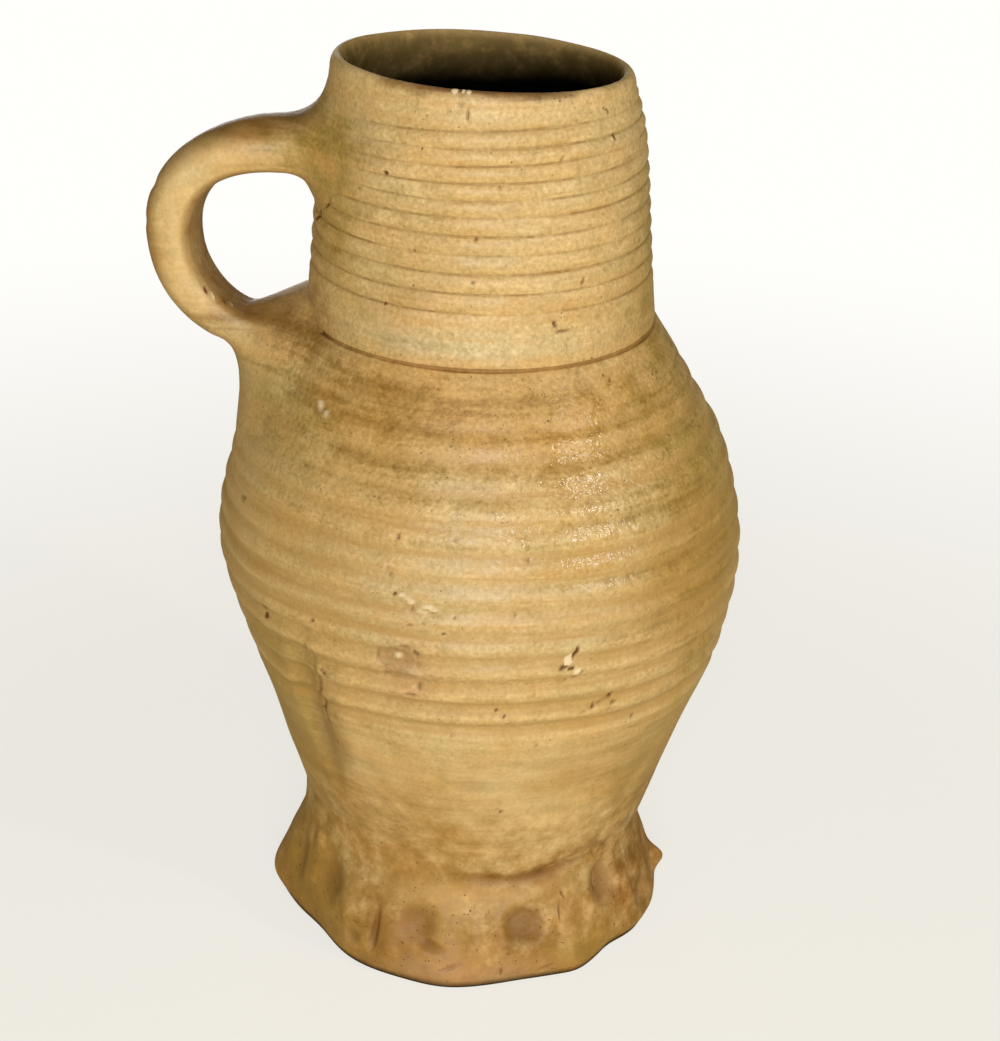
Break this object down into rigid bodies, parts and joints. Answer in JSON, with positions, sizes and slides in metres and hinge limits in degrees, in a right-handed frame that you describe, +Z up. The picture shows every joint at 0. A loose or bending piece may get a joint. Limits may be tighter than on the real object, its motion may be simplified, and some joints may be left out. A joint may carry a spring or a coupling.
{
  "type": "pottery jug",
  "caption": "Thrown stoneware jug with a hollow belly, a ribbed neck, a pulled loop handle and a thumb-pressed frilled foot, for holding and pouring drink.",
  "frame": {"origin": "middle of the flat base, on the surface that the jug stands on", "axes": "+Z up through the mouth, -X towards the handle, -Y towards the side that the picture shows"},
  "size_m": [0.1464, 0.1298, 0.2243],
  "materials": {
    "belly": "tan stoneware with a thin satin ash bloom, faint throwing hollows and fine dark specks",
    "neck": "buff stoneware with a thin satin ash bloom and dark lines in the incised grooves",
    "handle": "tan stoneware with an orange-brown blush, satin",
    "frill": "brown-buff stoneware, drier than the belly, with pinched folds",
    "slip": "dark brown fired slip, matt"
  },
  "bodies": {
    "root": {"pot_body": "belly", "neck": "neck", "neck_luting": "slip", "handle": "handle", "handle_upper_luting": "slip", "handle_lower_luting": "slip", "frilled_foot": "frill", "foot_luting": "slip"}
  },
  "joints": []
}
